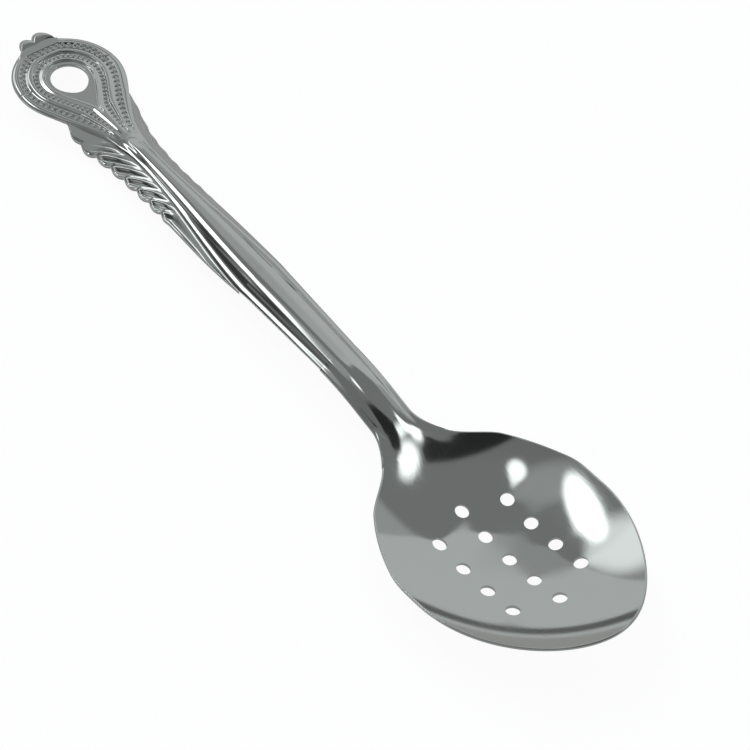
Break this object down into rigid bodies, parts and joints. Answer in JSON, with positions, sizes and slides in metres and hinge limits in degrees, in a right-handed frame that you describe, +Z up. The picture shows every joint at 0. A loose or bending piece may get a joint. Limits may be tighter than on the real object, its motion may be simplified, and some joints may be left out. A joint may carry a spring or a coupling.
{
  "type": "perforated serving spoon",
  "caption": "Pressed steel serving spoon with a shallow perforated egg-shaped bowl, a ridged stem between fluted wings and a beaded teardrop loop handle end with a hanging eye.",
  "frame": {"origin": "middle of the spoon's length and width, on the surface it lies on", "axes": "+X from the handle's crown to the bowl's tip, +Y across the spoon, +Z up from the surface it lies on"},
  "size_m": [0.232, 0.0586, 0.0177],
  "materials": {
    "polished_steel": "mirror polished stainless steel with light handling wear"
  },
  "bodies": {
    "root": {"drained_bowl": "polished_steel", "neck": "polished_steel", "stem": "polished_steel", "far_wing": "polished_steel", "near_wing": "polished_steel", "loop_head": "polished_steel", "crown": "polished_steel"}
  },
  "joints": []
}
